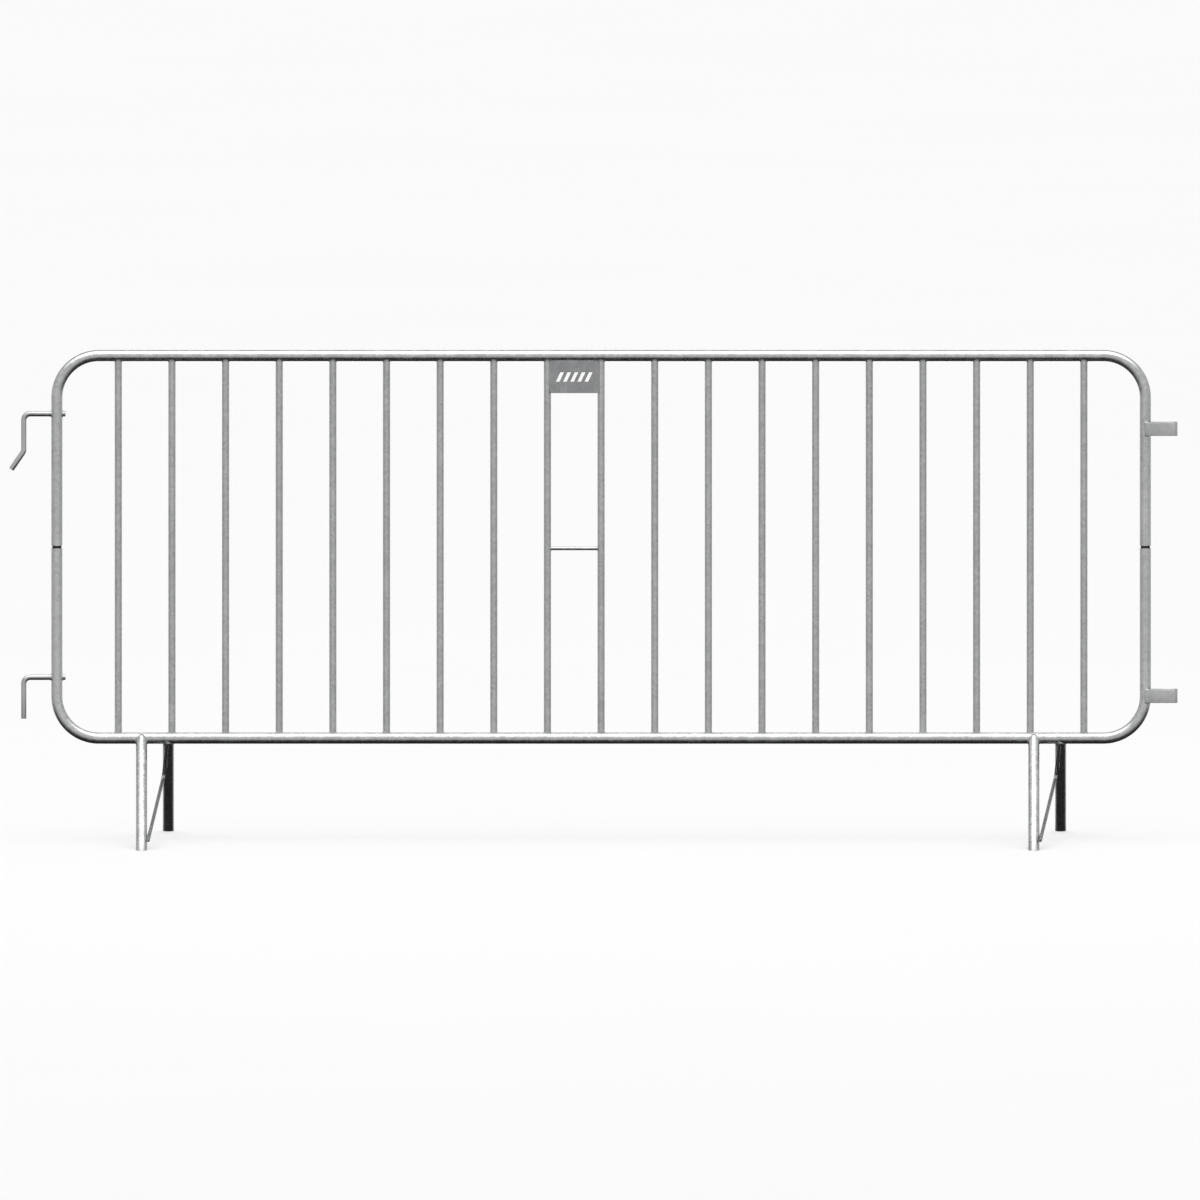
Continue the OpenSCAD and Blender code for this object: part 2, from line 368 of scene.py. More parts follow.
def makeRoundStockTree():
    # round stock, bent along the piece's line
    bench, inputs = newTree("roundStock", {
        "Stock Radius": 0.0125, "Sides": 56, "Corner Radius": 0.094, "Corner Steps": 28,
        "Solid Ends": 0, "Wear": 0.0, "Wear Start": 0.0, "Wear End": 1.0,
    })
    curve = wearAlong(bench, inputs, bentPath(bench, inputs))
    section = bench.add("GeometryNodeCurvePrimitiveCircle", None, {
        "Resolution": inputs["Sides"], "Radius": inputs["Stock Radius"],
    })
    skin = bench.add("GeometryNodeCurveToMesh", None, {
        "Curve": curve, "Profile Curve": section, "Fill Caps": inputs["Solid Ends"],
    })
    return closeTree(bench, inputs, skin)


def makeFlatStockTree():
    # flat strap with eased edges, bent the easy way along the piece's line
    bench, inputs = newTree("flatStock", {
        "Thickness": 0.004, "Height": 0.03, "Edge Radius": 0.0008, "Edge Steps": 4,
        "Corner Radius": 0.0075, "Corner Steps": 14, "Wear": 0.0, "Wear Start": 0.3, "Wear End": 0.7,
    })
    curve = wearAlong(bench, inputs, bentPath(bench, inputs, "Z_UP"))
    box = bench.add("GeometryNodeCurvePrimitiveQuadrilateral", None, {
        "Width": inputs["Thickness"], "Height": inputs["Height"],
    })
    section = bench.add("GeometryNodeFilletCurve", {"mode": "POLY"}, {
        "Curve": box, "Radius": inputs["Edge Radius"], "Count": inputs["Edge Steps"],
    })
    skin = bench.add("GeometryNodeCurveToMesh", None, {
        "Curve": curve, "Profile Curve": section, "Fill Caps": True,
    })
    return closeTree(bench, inputs, skin)


def makeBarRowTree():
    # one bar, repeated along the rail
    bench, inputs = newTree("barRow", {"Bars": 19, "Pitch": 0.12, "First Bar": 0.0})
    start = bench.add("ShaderNodeCombineXYZ", None, {"X": inputs["First Bar"]})
    stride = bench.add("ShaderNodeCombineXYZ", None, {"X": inputs["Pitch"]})
    row = bench.add("GeometryNodeMeshLine", None, {
        "Count": inputs["Bars"], "Start Location": start, "Offset": stride,
    })
    bars = bench.add("GeometryNodeInstanceOnPoints", None, {
        "Points": row, "Instance": inputs["Geometry"],
    })
    return closeTree(bench, inputs, bars)


def makeWeldTree():
    # a rippled bead along every line of the mesh; Taper thins the two ends of an open run
    bench, inputs = newTree("weldBead", {
        "Bead Radius": 0.002, "Sides": 8, "Step": 0.0009, "Ripple Pitch": 0.0026,
        "Ripple Depth": 0.16, "Lump Size": 0.00625, "Unevenness": 0.30,
        "Taper": 0.0, "Taper Share": 0.12, "Taper Depth": 0.75, "Seed": 7.0,
    })
    line = bench.add("GeometryNodeMeshToCurve", None, {"Mesh": inputs["Geometry"]})
    line = bench.add("GeometryNodeResampleCurve", {"mode": "LENGTH"}, {
        "Curve": line, "Length": inputs["Step"],
    })
    along = bench.add("GeometryNodeSplineParameter", result="Length")
    share = bench.add("GeometryNodeSplineParameter", result="Factor")
    phase = along / inputs["Ripple Pitch"] * math.pi
    wave = bench.add("ShaderNodeMath", {"operation": "SINE"}, {0: phase})
    wave = bench.add("ShaderNodeMath", {"operation": "ABSOLUTE"}, {0: wave})
    place = bench.add("GeometryNodeInputPosition")
    lumps = bench.add("ShaderNodeTexNoise", {"noise_dimensions": "4D"}, {
        "Vector": place, "W": inputs["Seed"], "Scale": 1 / inputs["Lump Size"], "Detail": 1.0,
    }, "Fac")
    nearEnd = bench.add("ShaderNodeMath", {"operation": "MINIMUM"}, {0: share, 1: 1 - share})
    thinning = inputs["Taper"] * (1 - nearEnd.between(-0.02, inputs["Taper Share"]))
    size = (
        1
        + (wave - 0.6) * inputs["Ripple Depth"]
        + (lumps - 0.5) * inputs["Unevenness"]
        - thinning * inputs["Taper Depth"]
    )
    section = bench.add("GeometryNodeCurvePrimitiveCircle", None, {
        "Resolution": inputs["Sides"], "Radius": inputs["Bead Radius"],
    })
    beads = bench.add("GeometryNodeCurveToMesh", None, {
        "Curve": line, "Profile Curve": section, "Scale": size, "Fill Caps": True,
    })
    return closeTree(bench, inputs, beads)


roundStockTree = makeRoundStockTree()
flatStockTree = makeFlatStockTree()
barRowTree = makeBarRowTree()
weldTree = makeWeldTree()
print("trees ready")


# Steps that every piece shares

def newPiece(name, mesh):
    piece = bpy.data.objects.new(name, mesh)
    scene.collection.objects.link(piece)
    return piece


def lineMesh(name, lines, closed=False):
    # each line is a list of corners
    mesh = bpy.data.meshes.new(name)
    points, edges = [], []
    for line in lines:
        first = len(points)
        points += [tuple(point) for point in line]
        edges += [(first + i, first + i + 1) for i in range(len(line) - 1)]
        if closed:
            edges.append((first + len(line) - 1, first))
    mesh.from_pydata(points, edges, [])
    return mesh


def ringMesh(name, rings, endless):
    # skins rings of equal size in turn; an endless skin joins the last to the first, others are capped
    count = len(rings[0])
    points = [tuple(point) for ring in rings for point in ring]
    faces = []
    spans = len(rings) if endless else len(rings) - 1
    for i in range(spans):
        here = i * count
        there = (i + 1) % len(rings) * count
        for k in range(count):
            after = (k + 1) % count
            faces.append((here + k, here + after, there + after, there + k))
    if not endless:
        faces.append(tuple(reversed(range(count))))
        faces.append(tuple(range((len(rings) - 1) * count, len(rings) * count)))
    mesh = bpy.data.meshes.new(name)
    mesh.from_pydata(points, [], faces)
    return mesh


def bake(piece):
    # turns the piece's modifiers into its plain mesh
    evaluated = piece.evaluated_get(bpy.context.evaluated_depsgraph_get())
    mesh = bpy.data.meshes.new_from_object(evaluated)
    piece.modifiers.clear()
    piece.data = mesh
    return piece


def runTree(piece, tree, values):
    # inputs are set by identifier, before anything is evaluated
    modifier = piece.modifiers.new("shape", "NODES")
    modifier.node_group = tree
    for item in tree.interface.items_tree:
        if item.in_out == "INPUT" and item.name in values:
            modifier[item.identifier] = values[item.name]
    return bake(piece)


def cleanSkin(piece):
    # merges doubles and turns every face outwards
    shape = bmesh.new()
    shape.from_mesh(piece.data)
    bmesh.ops.remove_doubles(shape, verts=shape.verts, dist=0.000002)
    bmesh.ops.recalc_face_normals(shape, faces=shape.faces)
    shape.to_mesh(piece.data)
    shape.free()


def smoothShade(piece, crease):
    # smooth, but crisp where two faces meet at more than crease degrees
    piece.data.polygons.foreach_set("use_smooth", [True] * len(piece.data.polygons))
    piece.data.set_sharp_from_angle(angle=math.radians(crease))


def addWall(piece, thickness):
    # gives an open skin its thickness, inwards
    wall = piece.modifiers.new("wall", "SOLIDIFY")
    wall.thickness = thickness
    wall.offset = -1
    bake(piece)


def easeEdges(piece, width, steps):
    # rounds the edges of cut ends, where two faces meet sharply
    ease = piece.modifiers.new("ease", "BEVEL")
    ease.width = width
    ease.segments = steps
    ease.limit_method = "ANGLE"
    ease.angle_limit = math.radians(50)
    bake(piece)


def settle(piece, nodes, crease=20):
    # the piece rides with the barrier and stands in for its CAD nodes; beads of weld stand in for none
    smoothShade(piece, crease)
    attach(piece, "root")
    if nodes:
        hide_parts(*nodes)
    print(piece.name, len(piece.data.polygons), "faces")


# Frame: two tubes, each bent into a U, that meet over a sleeve in each upright

frameTube = {
    "wall": 0.002,
    "cornerRadius": 0.094,
    "cornerSteps": 32,
    "sides": 64,
    "endEase": 0.0004,
    "railWear": 0.35,  # the top rail is handled, the bottom one isn't
    "wearFrom": 0.25,
    "wearTo": 0.75,
}


def makeFrameHalf(name, node, jointHeight, railHeight):
    corners = [
        (leftUpright, 0, jointHeight), (leftUpright, 0, railHeight),
        (rightUpright, 0, railHeight), (rightUpright, 0, jointHeight),
    ]
    piece = newPiece(name, lineMesh(name, [corners]))
    runTree(piece, roundStockTree, {
        "Stock Radius": tubeRadius,
        "Sides": frameTube["sides"],
        "Corner Radius": frameTube["cornerRadius"],
        "Corner Steps": frameTube["cornerSteps"],
        "Solid Ends": 0,
        "Wear": frameTube["railWear"] if railHeight > jointHeight else 0.0,
        "Wear Start": frameTube["wearFrom"],
        "Wear End": frameTube["wearTo"],
        "Material": tubeZinc,
    })
    cleanSkin(piece)
    addWall(piece, frameTube["wall"])
    easeEdges(piece, frameTube["endEase"], 2)
    settle(piece, [node])


makeFrameHalf("frameTop", "top_frame_tube", topLow.z, topRail)
makeFrameHalf("frameBottom", "bottom_frame_tube", bottomHigh.z, bottomRail)

# Sleeves inside the frame joints: coloured near black as painted shade for the gap at each joint, and
# all but hidden

jointSleeve = {"radius": 0.0103, "wall": 0.002, "sides": 48}


def makeSleeve(name, node, uprightX):
    low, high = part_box(node)
    piece = newPiece(name, lineMesh(name, [[(uprightX, 0, low.z), (uprightX, 0, high.z)]]))
    runTree(piece, roundStockTree, {
        "Stock Radius": jointSleeve["radius"],
        "Sides": jointSleeve["sides"],
        "Solid Ends": 0,
        "Material": sleevePaintedShadeZinc,
    })
    cleanSkin(piece)
    addWall(piece, jointSleeve["wall"])
    settle(piece, [node])


makeSleeve("sleeveLeft", "left_joint_sleeve", leftUpright)
makeSleeve("sleeveRight", "right_joint_sleeve", rightUpright)


# Coped stock: tube or rod cut to sit on a round neighbour

def circlePoints(radius, sides):
    turns = [2 * math.pi * k / sides for k in range(sides)]
    return [(radius * math.cos(turn), radius * math.sin(turn)) for turn in turns]


def seatDepth(seatRadius, offset):
    # how far a line stops short of the neighbour's axis when it runs this far to the side of it
    return math.sqrt(max(seatRadius ** 2 - offset ** 2, 0))


# Infill bars: one tube, coped to both rails, and its row

infillBar = {"radius": 0.008, "wall": 0.0012, "sides": 40}


def barRing(radius, railHeight, side):
    # side is 1 for the end on the bottom rail and -1 for the one under the top rail
    seat = tubeRadius + weldGap
    section = circlePoints(radius, infillBar["sides"])
    return [(x, y, railHeight + side * seatDepth(seat, y)) for x, y in section]


def makeBars():
    inner = infillBar["radius"] - infillBar["wall"]
    rings = [
        barRing(infillBar["radius"], bottomRail, 1), barRing(infillBar["radius"], topRail, -1),
        barRing(inner, topRail, -1), barRing(inner, bottomRail, 1),
    ]
    piece = newPiece("infillBars", ringMesh("infillBars", rings, endless=True))
    cleanSkin(piece)
    runTree(piece, barRowTree, {
        "Bars": len(barNodes),
        "Pitch": (barX[-1] - barX[0]) / (len(barX) - 1),
        "First Bar": barX[0],
        "Material": barZinc,
    })
    settle(piece, barNodes)


makeBars()

# Short rod between the ninth and tenth bars

crossRod = {"radius": 0.004, "sides": 28, "leftBar": 8}  # leftBar counts from 0


def makeCrossRod():
    height = middle("cross_rod").z
    left, right = barX[crossRod["leftBar"]], barX[crossRod["leftBar"] + 1]
    seat = infillBar["radius"] + weldGap
    section = circlePoints(crossRod["radius"], crossRod["sides"])
    rings = [
        [(left + seatDepth(seat, y), y, height + z) for y, z in section],
        [(right - seatDepth(seat, y), y, height + z) for y, z in section],
    ]
    piece = newPiece("crossRod", ringMesh("crossRod", rings, endless=False))
    piece.data.materials.append(rodZinc)
    cleanSkin(piece)
    settle(piece, ["cross_rod"])


makeCrossRod()

# Plate under the top rail, with a row of leaning slots

namePlate = {
    "cornerRadius": 0.002,
    "cornerSteps": 6,
    "edgeEase": 0.0003,
    "slotCount": 5,
    "slotWidth": 0.008,
    "slotHeight": 0.021,
    "slotLean": 0.010,  # from foot to head
    "slotMargin": 0.014,  # from the plate's edge to the row
}


def addOutline(curve, corners):
    spline = curve.splines.new("POLY")
    spline.points.add(len(corners) - 1)
    for point, (x, z) in zip(spline.points, corners):
        point.co = (x, z, 0, 1)
    spline.use_cyclic_u = True


def roundedCorner(x, z, startAngle):
    steps, radius = namePlate["cornerSteps"], namePlate["cornerRadius"]
    turns = [math.radians(startAngle + 90 * k / steps) for k in range(steps + 1)]
    return [(x + radius * math.cos(turn), z + radius * math.sin(turn)) for turn in turns]


def makePlate():
    low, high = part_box("name_plate")
    centre = (low + high) / 2
    ease = namePlate["edgeEase"]
    corner = namePlate["cornerRadius"]
    curve = bpy.data.curves.new("plateOutline", "CURVE")
    curve.dimensions = "2D"
    curve.fill_mode = "BOTH"
    curve.extrude = (high.y - low.y) / 2 - ease
    curve.bevel_depth = ease
    curve.bevel_resolution = 1
    curve.offset = -ease
    outline = roundedCorner(low.x + corner, low.z + corner, 180)
    outline += roundedCorner(high.x - corner, low.z + corner, 270)
    outline += [(high.x, high.z), (low.x, high.z)]  # square where it meets the rail
    addOutline(curve, outline)
    lean, half = namePlate["slotLean"] / 2, namePlate["slotWidth"] / 2
    reach = namePlate["slotHeight"] / 2
    rowWidth = high.x - low.x - 2 * namePlate["slotMargin"]
    pitch = (rowWidth - namePlate["slotWidth"] - namePlate["slotLean"]) / (namePlate["slotCount"] - 1)
    for k in range(namePlate["slotCount"]):
        x = centre.x + (k - (namePlate["slotCount"] - 1) / 2) * pitch
        addOutline(curve, [
            (x - half - lean, centre.z - reach), (x + half - lean, centre.z - reach),
            (x + half + lean, centre.z + reach), (x - half + lean, centre.z + reach),
        ])
    flat = bpy.data.objects.new("plateOutline", curve)
    scene.collection.objects.link(flat)
    mesh = bpy.data.meshes.new_from_object(flat.evaluated_get(bpy.context.evaluated_depsgraph_get()))
    bpy.data.objects.remove(flat)
    # the outline was drawn lying down: stand it up, facing the front
    mesh.transform(Matrix.Translation((0, centre.y, 0)) @ Matrix.Rotation(math.pi / 2, 4, "X"))
    mesh.materials.clear()
    mesh.materials.append(plateZinc)
    piece = newPiece("namePlate", mesh)
    cleanSkin(piece)
    settle(piece, ["name_plate"])


makePlate()

# Hooks: bent rods through the left upright

hookRod = {
    "radius": 0.006,
    "swell": 1.01,  # the CAD rods are this much over their size
    "sides": 36,
    "bendRadius": 0.014,
    "bendSteps": 14,
    "endEase": 0.0009,
    "stub": 0.007,  # past the inner face of the upright
    "reach": 0.074,  # from the upright's axis to the rod's bend
    "upperDrop": 0.084,
    "tipLength": 0.049,
    "tipAngle": 34.5,
    "wear": 0.9,
    "wearFrom": 0.45,  # from here to the tip
}


def makeHook(name, node, height, fall):
    # fall holds the corners below the bend, as (x, z) from the bend's corner
    bendX = leftUpright - hookRod["reach"]
    corners = [(leftUpright + tubeRadius + hookRod["stub"], 0, height), (bendX, 0, height)]
    corners += [(bendX + x, 0, height + z) for x, z in fall]
    piece = newPiece(name, lineMesh(name, [corners]))
    runTree(piece, roundStockTree, {
        "Stock Radius": hookRod["radius"],
        "Sides": hookRod["sides"],
        "Corner Radius": hookRod["bendRadius"],
        "Corner Steps": hookRod["bendSteps"],
        "Solid Ends": 1,
        "Wear": hookRod["wear"],
        "Wear Start": hookRod["wearFrom"],
        "Wear End": 1.1,
        "Material": rodZinc,
    })
    cleanSkin(piece)
    easeEdges(piece, hookRod["endEase"], 3)
    settle(piece, [node])


def makeHooks():
    lowerLow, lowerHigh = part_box("lower_hook")
    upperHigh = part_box("upper_hook")[1]
    lowerHeight = lowerHigh.z - hookRod["radius"] * hookRod["swell"]
    upperHeight = upperHigh.z - hookRod["radius"] * hookRod["swell"]
    drop, tip = hookRod["upperDrop"], hookRod["tipLength"]
    lean = math.radians(hookRod["tipAngle"])
    makeHook("hookUpper", "upper_hook", upperHeight, [
        (0, -drop), (-tip * math.sin(lean), -drop - tip * math.cos(lean)),
    ])
    makeHook("hookLower", "lower_hook", lowerHeight, [(0, lowerLow.z - lowerHeight)])
    return upperHeight, lowerHeight


hookHeights = makeHooks()

# Loops: flat strap round the right upright

strapLoop = {
    "thickness": 0.004,
    "edgeRadius": 0.0008,
    "edgeSteps": 4,
    "bendRadius": 0.0075,
    "bendSteps": 14,
    "wear": 0.8,
    "wearFrom": 0.36,  # round the outer end
    "wearTo": 0.64,
}


def makeLoop(name, node):
    low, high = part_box(node)
    height = (low.z + high.z) / 2
    halfWidth = high.y - strapLoop["thickness"] / 2
    outer = high.x - strapLoop["thickness"] / 2
    corners = [
        (low.x, -halfWidth, height), (outer, -halfWidth, height),
        (outer, halfWidth, height), (low.x, halfWidth, height),
    ]
    piece = newPiece(name, lineMesh(name, [corners]))
    runTree(piece, flatStockTree, {
        "Thickness": strapLoop["thickness"],
        "Height": high.z - low.z,
        "Edge Radius": strapLoop["edgeRadius"],
        "Edge Steps": strapLoop["edgeSteps"],
        "Corner Radius": strapLoop["bendRadius"],
        "Corner Steps": strapLoop["bendSteps"],
        "Wear": strapLoop["wear"],
        "Wear Start": strapLoop["wearFrom"],
        "Wear End": strapLoop["wearTo"],
        "Material": strapZinc,
    })
    cleanSkin(piece)
    settle(piece, [node])


makeLoop("loopUpper", "upper_loop")
makeLoop("loopLower", "lower_loop")

# Legs: straight tubes, coped to the bottom rail and cut level at the ground

legTube = {"wall": 0.002, "sides": 56, "footEase": 0.0005, "footEaseSteps": 4, "footSpread": 0.6}
footReach = legTube["footSpread"] / 2
legLean = math.atan2(footReach, bottomRail)  # from upright
legNames = {
    "legFrontLeft": ("front_left_leg", -1), "legRearLeft": ("rear_left_leg", 1),
    "legFrontRight": ("front_right_leg", -1), "legRearRight": ("rear_right_leg", 1),
}


def legAxes(side):
    # along the leg, and square to it in the same upright plane
    along = Vector((0, side * math.sin(legLean), -math.cos(legLean)))
    under = Vector((0, side * math.cos(legLean), math.sin(legLean)))
    return along, under


def legRing(x, side, radius, footHeight=None):
    # a ring at the rail, or where the leg meets this height
    along, under = legAxes(side)
    start = Vector((x, 0, bottomRail))
    ring = []
    for a, b in circlePoints(radius, legTube["sides"]):
        point = start + Vector((a, 0, 0)) + b * under
        if footHeight is None:
            distance = seatDepth(tubeRadius + weldGap, b)
        else:
            distance = (footHeight - point.z) / along.z
        ring.append(point + distance * along)
    return ring


def makeLeg(name, node, side):
    # down the outside, round the foot's two edges and up the bore
    x = middle(node).x
    inner = tubeRadius - legTube["wall"]
    ease = legTube["footEase"]
    turns = [k * math.pi / 2 / legTube["footEaseSteps"] for k in range(legTube["footEaseSteps"] + 1)]
    steps = [(ease * math.sin(turn), ease * math.cos(turn)) for turn in turns]
    rings = [legRing(x, side, tubeRadius)]
    rings += [legRing(x, side, tubeRadius - ease + out, ease - down) for down, out in steps]
    rings += [legRing(x, side, inner + ease - out, ease - down) for down, out in reversed(steps)]
    rings.append(legRing(x, side, inner))
    piece = newPiece(name, ringMesh(name, rings, endless=True))
    piece.data.materials.append(tubeZinc)
    cleanSkin(piece)
    settle(piece, [node])


for legName, (legNode, legSide) in legNames.items():
    makeLeg(legName, legNode, legSide)

# Leg braces: one rod up from the front leg's foot, then back under the rear leg to the rail

legBrace = {
    "radius": 0.004,
    "sides": 28,
    "bendRadius": 0.010,
    "bendSteps": 12,
    "endEase": 0.0006,
    "crossHeight": 0.030,  # where it passes the front leg
    "tail": 0.032,  # past that, to the rod's foot
    "topAt": 0.005,  # along the rear leg
    "offcut": 0.012,  # taken off level under the rail
    "clearance": 0.0045,  # from the cut to the rail
    "bendAt": 0.138,  # along the rear leg
    "topAngle": 13,  # round the rear leg, from straight under it
    "bendAngle": 40,
}


def bracePoints(frontX, rearX):
    seat = tubeRadius + legBrace["radius"] + weldGap
    out = seat / math.cos(math.radians(legBrace["bendAngle"] - legBrace["topAngle"]) / 2)
    rearAlong, rearOver = legAxes(1)
    frontAlong = legAxes(-1)[0]
    start = Vector((rearX, 0, bottomRail))

    def besideRear(distance, angle):
        turn = math.radians(angle)
        away = -math.cos(turn) * rearOver - Vector((math.sin(turn), 0, 0))
        return start + distance * rearAlong + out * away

    def besideFront(gap):
        crossing = (bottomRail - legBrace["crossHeight"]) / math.cos(legLean)
        return Vector((frontX + gap, 0, bottomRail)) + crossing * frontAlong

    top = besideRear(legBrace["topAt"], legBrace["topAngle"])
    bend = besideRear(legBrace["bendAt"], legBrace["bendAngle"])
    slant = frontAlong.cross((besideFront(seat) - bend).normalized())
    crossing = besideFront(seat * slant.length / abs(slant.x))
    foot = crossing + legBrace["tail"] * (crossing - bend).normalized()
    return top, bend, crossing, foot


def cutLevel(piece, height):
    # takes off what is above this height and closes the cut
    shape = bmesh.new()
    shape.from_mesh(piece.data)
    everything = shape.verts[:] + shape.edges[:] + shape.faces[:]
    cut = bmesh.ops.bisect_plane(
        shape, geom=everything, plane_co=(0, 0, height), plane_no=(0, 0, 1), clear_outer=True,
    )
    rim = [item for item in cut["geom_cut"] if isinstance(item, bmesh.types.BMEdge)]
    bmesh.ops.contextual_create(shape, geom=rim)
    shape.to_mesh(piece.data)
    shape.free()


def makeBrace(name, node, frontNode, rearNode):
    top, bend, crossing, foot = bracePoints(middle(frontNode).x, middle(rearNode).x)
    overlong = top + legBrace["offcut"] * (top - bend).normalized()
    piece = newPiece(name, lineMesh(name, [[foot, bend, overlong]]))
    runTree(piece, roundStockTree, {
        "Stock Radius": legBrace["radius"],
        "Sides": legBrace["sides"],
        "Corner Radius": legBrace["bendRadius"],
        "Corner Steps": legBrace["bendSteps"],
        "Solid Ends": 1,
        "Material": rodZinc,
    })
    cleanSkin(piece)
    easeEdges(piece, legBrace["endEase"], 2)
    cutLevel(piece, bottomRail - tubeRadius - legBrace["clearance"])
    cleanSkin(piece)
    settle(piece, [node])
    return top, bend, crossing, foot


braceRuns = {
    ("front_left_leg", "rear_left_leg"): makeBrace(
        "braceLeft", "left_leg_brace", "front_left_leg", "rear_left_leg",
    ),
    ("front_right_leg", "rear_right_leg"): makeBrace(
        "braceRight", "right_leg_brace", "front_right_leg", "rear_right_leg",
    ),
}

# Welds: how thick each bead is, and where each line of bead runs

weldBead = {
    "bars": 0.0014,
    "legs": 0.0022,
    "crossRod": 0.0013,
    "hooks": 0.0018,
    "loops": 0.0016,
    "plate": 0.0011,
    "braces": 0.0015,
    "barSteps": 32,  # round one end of a bar
    "legSteps": 44,
    "crossRodSteps": 24,
    "hookSteps": 28,
    "outset": 0.0004,  # a bead on a tube's side lies this far off it
    "strapSteps": (0.009, 0.006, 0.003),  # along the top and bottom edges of a strap
    "braceLower": (0.055, 0.030),  # how far from the bend it starts, and its length
    "braceUpper": (0.030, 0.024),  # how far from the top it starts, and its length
    "braceFoot": 0.018,  # its length, half of it to each side of the crossing
    "grooveSteps": 12,
    "sides": 8,
    "seed": 7.0,
}


def saddleLoop(radius, seatRadius, steps, place):
    # the line where a tube meets a rail; place turns (sideways, across, depth) into a point
    return [place(a, b, seatDepth(seatRadius, b)) for a, b in circlePoints(radius, steps)]


def barWelds():
    loops = []
    radius, steps = infillBar["radius"], weldBead["barSteps"]
    for x in barX:
        loops.append(saddleLoop(radius, tubeRadius, steps, lambda a, b, d: (x + a, b, topRail - d)))
        loops.append(saddleLoop(radius, tubeRadius, steps, lambda a, b, d: (x + a, b, bottomRail + d)))
    return loops


def legWelds():
    loops = []
    outset = weldBead["outset"]
    for node, side in legNames.values():
        along, under = legAxes(side)
        start = Vector((middle(node).x, 0, bottomRail))
        loops.append(saddleLoop(
            tubeRadius + outset, tubeRadius, weldBead["legSteps"],
            lambda a, b, d: start + Vector((a, 0, 0)) + b * under + (d + outset) * along,
        ))
    return loops


def rodWelds():
    height = middle("cross_rod").z
    left, right = barX[crossRod["leftBar"]], barX[crossRod["leftBar"] + 1]
    radius, seat, steps = crossRod["radius"], infillBar["radius"], weldBead["crossRodSteps"]
    return [
        saddleLoop(radius, seat, steps, lambda a, b, d: (left + d, b, height + a)),
        saddleLoop(radius, seat, steps, lambda a, b, d: (right - d, b, height + a)),
    ]


def hookWelds():
    loops = []
    for height in hookHeights:
        for side in (-1, 1):
            loops.append(saddleLoop(
                hookRod["radius"], tubeRadius, weldBead["hookSteps"],
                lambda a, b, d: (leftUpright + side * d, b, height + a),
            ))
    return loops


def strapWelds():
    # along the top edge of each strap, down its end and back along its bottom edge
    runs = []
    steps = weldBead["strapSteps"]
    for node in ("upper_loop", "lower_loop"):
        low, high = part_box(node)
        end = low.x - 0.0003
        for side in (-1, 1):
            face = side * (tubeRadius + weldBead["outset"])
            slope = [(rightUpright + step, side * seatDepth(tubeRadius, step)) for step in steps]
            run = [(x, y, high.z) for x, y in slope]
            run += [(end, face, high.z - 0.0005), (end, face, low.z + 0.0005)]
            run += [(x, y, low.z) for x, y in reversed(slope)]
            runs.append(run)
    return runs


def plateWelds():
    # behind the plate, up both bars and along the rail
    low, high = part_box("name_plate")
    sideY, topY, topZ = high.y - 0.0006, high.y + 0.0003, high.z - 0.0001
    runs = [[(x, sideY, low.z + 0.003), (x, sideY, high.z - 0.002)] for x in (low.x, high.x)]
    runs.append([(low.x + 0.003, topY, topZ), (high.x - 0.003, topY, topZ)])
    return runs


def groove(start, direction, length, legX, legSide, facing):
    # a run between a brace and a leg, on the side of the rod that faces this way
    legStart = Vector((legX, 0, bottomRail))
    legAlong = legAxes(legSide)[0]
    steps = weldBead["grooveSteps"]
    run = []
    for k in range(steps + 1):
        point = start + direction * (length * k / steps)
        onAxis = legStart + legAlong * (point - legStart).dot(legAlong)
        toLeg = (onAxis - point).normalized()
        aside = toLeg.cross(direction).normalized()
        if aside.dot(Vector(facing)) < 0:
            aside = -aside
        run.append(point + toLeg * (legBrace["radius"] * 0.80) + aside * (legBrace["radius"] * 0.65))
    return run


def braceWelds():
    # two beads on each rear leg and one where the brace crosses the front leg
    runs = []
    for (frontNode, rearNode), (top, bend, crossing, foot) in braceRuns.items():
        frontX, rearX = middle(frontNode).x, middle(rearNode).x
        rise = (top - bend).normalized()
        gap, length = weldBead["braceLower"]
        runs.append(groove(bend + rise * gap, rise, length, rearX, 1, (1, 0, 0)))
        gap, length = weldBead["braceUpper"]
        runs.append(groove(top - rise * gap, rise, length, rearX, 1, (1, 0, 0)))
        lift = (bend - foot).normalized()
        length = weldBead["braceFoot"]
        runs.append(groove(crossing - lift * length / 2, lift, length, frontX, -1, (0, 1, 0)))
    return runs


def makeWelds(name, lines, closed, bead):
    # closed lines make whole rings, and open runs thin out at both ends
    piece = newPiece(name, lineMesh(name, lines, closed))
    runTree(piece, weldTree, {
        "Bead Radius": weldBead[bead],
        "Sides": weldBead["sides"],
        "Taper": 0.0 if closed else 1.0,
        "Seed": weldBead["seed"],
        "Material": weldZinc,
    })
    cleanSkin(piece)
    settle(piece, [], crease=180)


makeWelds("weldsBars", barWelds(), True, "bars")
makeWelds("weldsLegs", legWelds(), True, "legs")
makeWelds("weldsCrossRod", rodWelds(), True, "crossRod")
makeWelds("weldsHooks", hookWelds(), True, "hooks")
makeWelds("weldsLoops", strapWelds(), False, "loops")
makeWelds("weldsPlate", plateWelds(), False, "plate")
makeWelds("weldsBraces", braceWelds(), False, "braces")
print("welds ready")


# Floor, sky and lights

